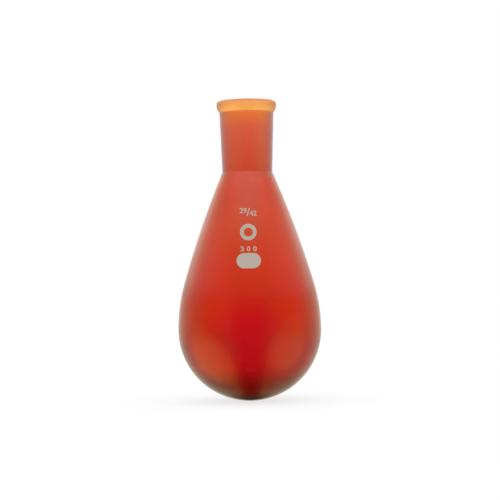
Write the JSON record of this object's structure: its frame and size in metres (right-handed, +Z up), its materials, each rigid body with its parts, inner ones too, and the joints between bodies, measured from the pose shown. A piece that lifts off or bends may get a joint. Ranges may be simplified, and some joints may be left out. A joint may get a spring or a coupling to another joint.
{
  "type": "pear-shaped evaporating flask",
  "caption": "Amber glass boiling flask with a round bottom, tapering pear-shaped bulb and a beaded neck with a ground taper socket, marked with enamel in front.",
  "frame": {"origin": "centre of the mouth, on the plane of the rim", "axes": "+Z up along the neck's axis and out of the mouth, -Y the front with the enamel marks, +X to the right when seen from the front"},
  "size_m": [0.085, 0.085, 0.1781],
  "materials": {
    "amber_glass": "clear amber stained borosilicate, fire-polished outside, ground inside the neck",
    "enamel": "fired enamel, matt"
  },
  "bodies": {
    "root": {"flask": "amber_glass", "marking_spot": "enamel", "ring_mark": "enamel"}
  },
  "joints": []
}
